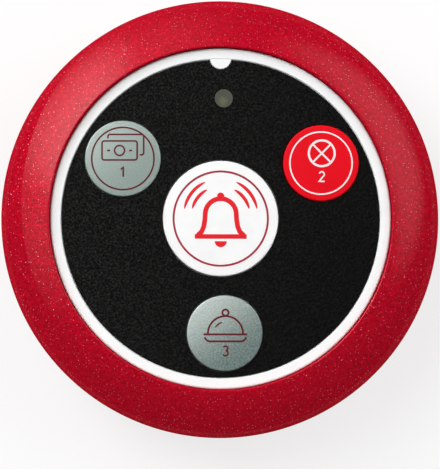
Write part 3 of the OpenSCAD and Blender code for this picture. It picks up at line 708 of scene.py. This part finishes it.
def make_print():
    """Generic pictograms, rings and plain numerals on the four keys."""
    dark = printing_ink("ink_dark_red", (0.115, 0.006, 0.012))
    ring = printing_ink("ink_ring_red", (0.38, 0.02, 0.045))
    red = printing_ink("ink_red", (0.78, 0.01, 0.02))
    pale = printing_ink("ink_white", (0.92, 0.8, 0.8))

    call = KeyTop("call_key")
    call_ring = circle_line((0, 0), CALL_RING_R, CALL_RING_W, 128)
    ink("call_print_ring", call_ring, call, ring, "call_button")
    ink("call_print_bell", shifted(bell(), 0, -0.35), call, red, "call_button")

    pay = circle_line((0, 0), KEY_RING_R, PAY_LINE)
    pay += shifted(banknotes(PAY_LINE), 0, 1.15) + shifted(numeral(1, 1.3, PAY_LINE), 0, -1.85)
    ink("pay_print", pay, KeyTop("pay_key"), dark, "pay_button")

    cancel = circle_line((0, 0), KEY_RING_R, CANCEL_LINE)
    cancel += shifted(crossed_circle(1.77, CROSS_LINE), 0.1, 1.34)
    cancel += shifted(numeral(2, 1.3, CANCEL_LINE), 0.1, -1.85)
    ink("cancel_print", cancel, KeyTop("cancel_key"), pale, "cancel_button")

    order = shifted(cloche(ORDER_LINE), 0.1, 1.1) + shifted(numeral(3, 1.35, 0.23), 0.1, -2.4)
    ink("order_print", order, KeyTop("order_key"), dark, "order_button")


def dress(material, *names):
    """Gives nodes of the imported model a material."""
    for name in names:
        mesh = NODES[name].data
        mesh.materials.clear()
        mesh.materials.append(material)


def dress_outside():
    """Materials of the visible nodes that stay as they are."""
    white, call = (0.9, 0.917, 0.915), (0.9, 0.9, 0.9)
    # Darker and lighter colours of the grey green keys; most of the change between them is painted
    # sheen and shade
    pay = ((0.27, 0.34, 0.315), (0.42, 0.49, 0.455))
    cancel = (0.76, 0.003, 0.012)
    order = ((0.085, 0.14, 0.127), (0.58, 0.64, 0.61))
    dress(satin_plastic("rim_white", white, 0.4, specular=0.3), "face_plate")
    dress(pebbled_film(), "overlay_film")
    dress(smoked_lens(), "led_lens")
    dress(satin_plastic("call_white_satin", call, 0.36, specular=0.3), "call_key")
    dress(silver_green("pay_silver_green", "pay_key", *pay), "pay_key")
    dress(satin_plastic("cancel_red_satin", cancel, 0.42, grain=0.01, specular=0.08), "cancel_key")
    dress(silver_green("order_silver_green", "order_key", *order), "order_key")
    dress(spark_plastic("base_black_spark", (0.02, 0.02, 0.022)), "base_cover")
    dress(satin_plastic("seal_silicone", (0.25, 0.26, 0.28), 0.6), "seal_ring")
    dress(foam(), "adhesive_pad")


def dress_inside():
    """Materials of the switches, the board with its parts, the battery and the screws."""
    keys = ("call", "pay", "cancel", "order")
    black = spark_plastic("switch_black_resin", (0.02, 0.02, 0.022))
    steel = brushed_metal("switch_steel_sheet", (0.6, 0.6, 0.62))
    plated = brushed_metal("contact_plated", (0.66, 0.66, 0.67), 0.25)
    dress(black, *[k + "_switch_base" for k in keys], *[k + "_switch_plunger" for k in keys])
    dress(steel, "snap_domes", *[k + "_switch_cover" for k in keys])
    dress(plated, "switch_legs", "battery_terminal", "battery_spring", "battery_contact")
    dress(brushed_metal("screw_zinc", (0.55, 0.55, 0.57), 0.3), "board_screws", "cover_screws")
    dress(board_mask(), "circuit_board")
    dress(satin_plastic("lamp_red_resin", (0.62, 0.06, 0.04), 0.2, coat=0.5), "status_led")
    resin = spark_plastic("chip_black_resin", (0.015, 0.015, 0.016))
    dress(resin, "encoder_chip", "radio_transistor")
    dress(brushed_metal("can_plated", (0.62, 0.6, 0.54), 0.3), "radio_resonator")
    dress(satin_plastic("chip_brown_ceramic", (0.2, 0.12, 0.06), 0.5), "chip_parts")
    dress(brushed_metal("aerial_enamelled", (0.62, 0.28, 0.1), 0.25), "coil_aerial")
    dress(spark_plastic("holder_black_resin", (0.03, 0.03, 0.032)), "battery_holder")
    dress(wrapped_cell(), "battery_cell")


# ---------------------------------------------------------------- stage, light and camera

def make_floor():
    """Plain pale floor under the pad; part of its paleness is steady and the rest takes shadow."""
    f = Finish("floor_white", (0.92, 0.92, 0.92), 0.9, specular=0.0)
    tone = f.widen(f.noise(0.02))
    f.set("Base Color", f.blend(tone, (0.915, 0.915, 0.915), (0.925, 0.925, 0.925)))
    path = f.add("ShaderNodeLightPath").outputs
    seen = f.math("ADD", path["Is Camera Ray"], path["Is Glossy Ray"])
    seen = f.math("ADD", seen, path["Is Transmission Ray"])
    both = f.add("ShaderNodeMixShader")
    f.join(f.math("MULTIPLY", seen, FLOOR_STEADY), both.inputs["Fac"])
    f.join(f.shader.outputs["BSDF"], both.inputs[1])
    f.join(f.add("ShaderNodeEmission").outputs["Emission"], both.inputs[2])
    f.join(both.outputs["Shader"], f.out.inputs["Surface"])
    bm = bmesh.new()
    bmesh.ops.create_circle(bm, cap_ends=True, radius=FLOOR_R, segments=64)
    bmesh.ops.translate(bm, verts=bm.verts, vec=(0, 0, -FLOOR_DROP))
    new_object("floor", finished_mesh("floor", bm), f.material)


class Surroundings(Nodes):
    """The world's light, as a brightness for each direction."""

    def __init__(self):
        world = bpy.data.worlds.new("surroundings")
        world.use_nodes = True
        super().__init__(world.node_tree)
        self.back = self.add("ShaderNodeBackground")
        out = self.add("ShaderNodeOutputWorld")
        self.join(self.back.outputs["Background"], out.inputs["Surface"])
        self.way = self.add("ShaderNodeTexCoord").outputs["Generated"]
        self.bearing = self.vector("NORMALIZE", self.vector("MULTIPLY", self.way, (1, 1, 0)))
        bpy.context.scene.world = world

    def ramp(self, source, towards, low, high, to_low=0.0, to_high=1.0, smooth=True):
        """A step in the part of a direction that points one way."""
        along = self.vector("DOT_PRODUCT", source, towards, result="Value")
        return self.spread(along, low, high, to_low, to_high, smooth)


def make_light():
    """A tall softbox with one crisp edge, a soft one opposite, a dim room and a bright horizon."""
    world = Surroundings()
    up = Vector((0, 0, 1))
    top_low, top_high = [sin(radians(e)) for e in MAIN_TOP]
    sky_low, sky_high = [sin(radians(e)) for e in HORIZON_FADE]
    narrow, wide = cos(radians(MAIN_HALF)), cos(radians(WING_HALF))
    edge_from, edge_to = [direction(*way) for way in MAIN_EDGE]
    edge = edge_from.cross(edge_to).normalized()
    crisp = world.ramp(world.way, edge, *MAIN_EDGE_FADE)
    top = world.ramp(world.way, up, top_low, top_high, 1.0, 0.0)
    rise = world.ramp(world.way, up, *MAIN_RISE, smooth=False)
    middle = world.ramp(world.bearing, direction(MAIN_BEARING, 0), narrow, 1.0, 0.0, MAIN_SHARE)
    wings = world.ramp(world.bearing, direction(WING_BEARING, 0), wide, narrow, 0.0, WING_SHARE)
    main = world.math("ADD", middle, wings)
    for part in (crisp, top, rise):
        main = world.math("MULTIPLY", main, part)
    beside = cos(radians(SIDE_HALF))
    side = world.ramp(world.way, direction(*SIDE_WAY), beside, 1.0, 0.0, SIDE_LEVEL)
    room = world.ramp(world.way, up, sky_low, sky_high, HORIZON_LEVEL, ROOM_LEVEL)
    total = world.math("ADD", world.math("ADD", main, side), room)
    world.join(total, world.back.inputs["Strength"])


def make_camera():
    """Looks almost straight down on the face with a long lens, framed as the photograph is."""
    waist = SHELL_LOW.z + WAIST_SHARE * (SHELL_HIGH.z - SHELL_LOW.z)
    scale = SHELL_HIGH.x / OUTLINE_R
    data = bpy.data.cameras.new("camera")
    data.sensor_width = CAMERA_SENSOR
    data.lens = CAMERA_SENSOR * CAMERA_DISTANCE / (PHOTO_H * scale)
    data.clip_start, data.clip_end = CAMERA_CLIP
    camera = bpy.data.objects.new("camera", data)
    bpy.context.scene.collection.objects.link(camera)
    across, along = PHOTO_W / 2 - OUTLINE_X, OUTLINE_Y - PHOTO_H / 2
    target = Vector((across * scale, along * scale, waist))
    back = direction(CAMERA_AZIMUTH, CAMERA_ELEVATION)
    right = Vector((0, 1, 0)).cross(back).normalized()
    axes = (right, back.cross(right), back, target + CAMERA_DISTANCE * back)
    camera.matrix_world = Matrix([[*row] for row in zip(*axes)] + [[0, 0, 0, 1]])
    bpy.context.scene.camera = camera


make_shell()
make_print()
dress_outside()
dress_inside()
make_floor()
make_light()
make_camera()
bpy.context.scene.view_settings.view_transform = "Standard"
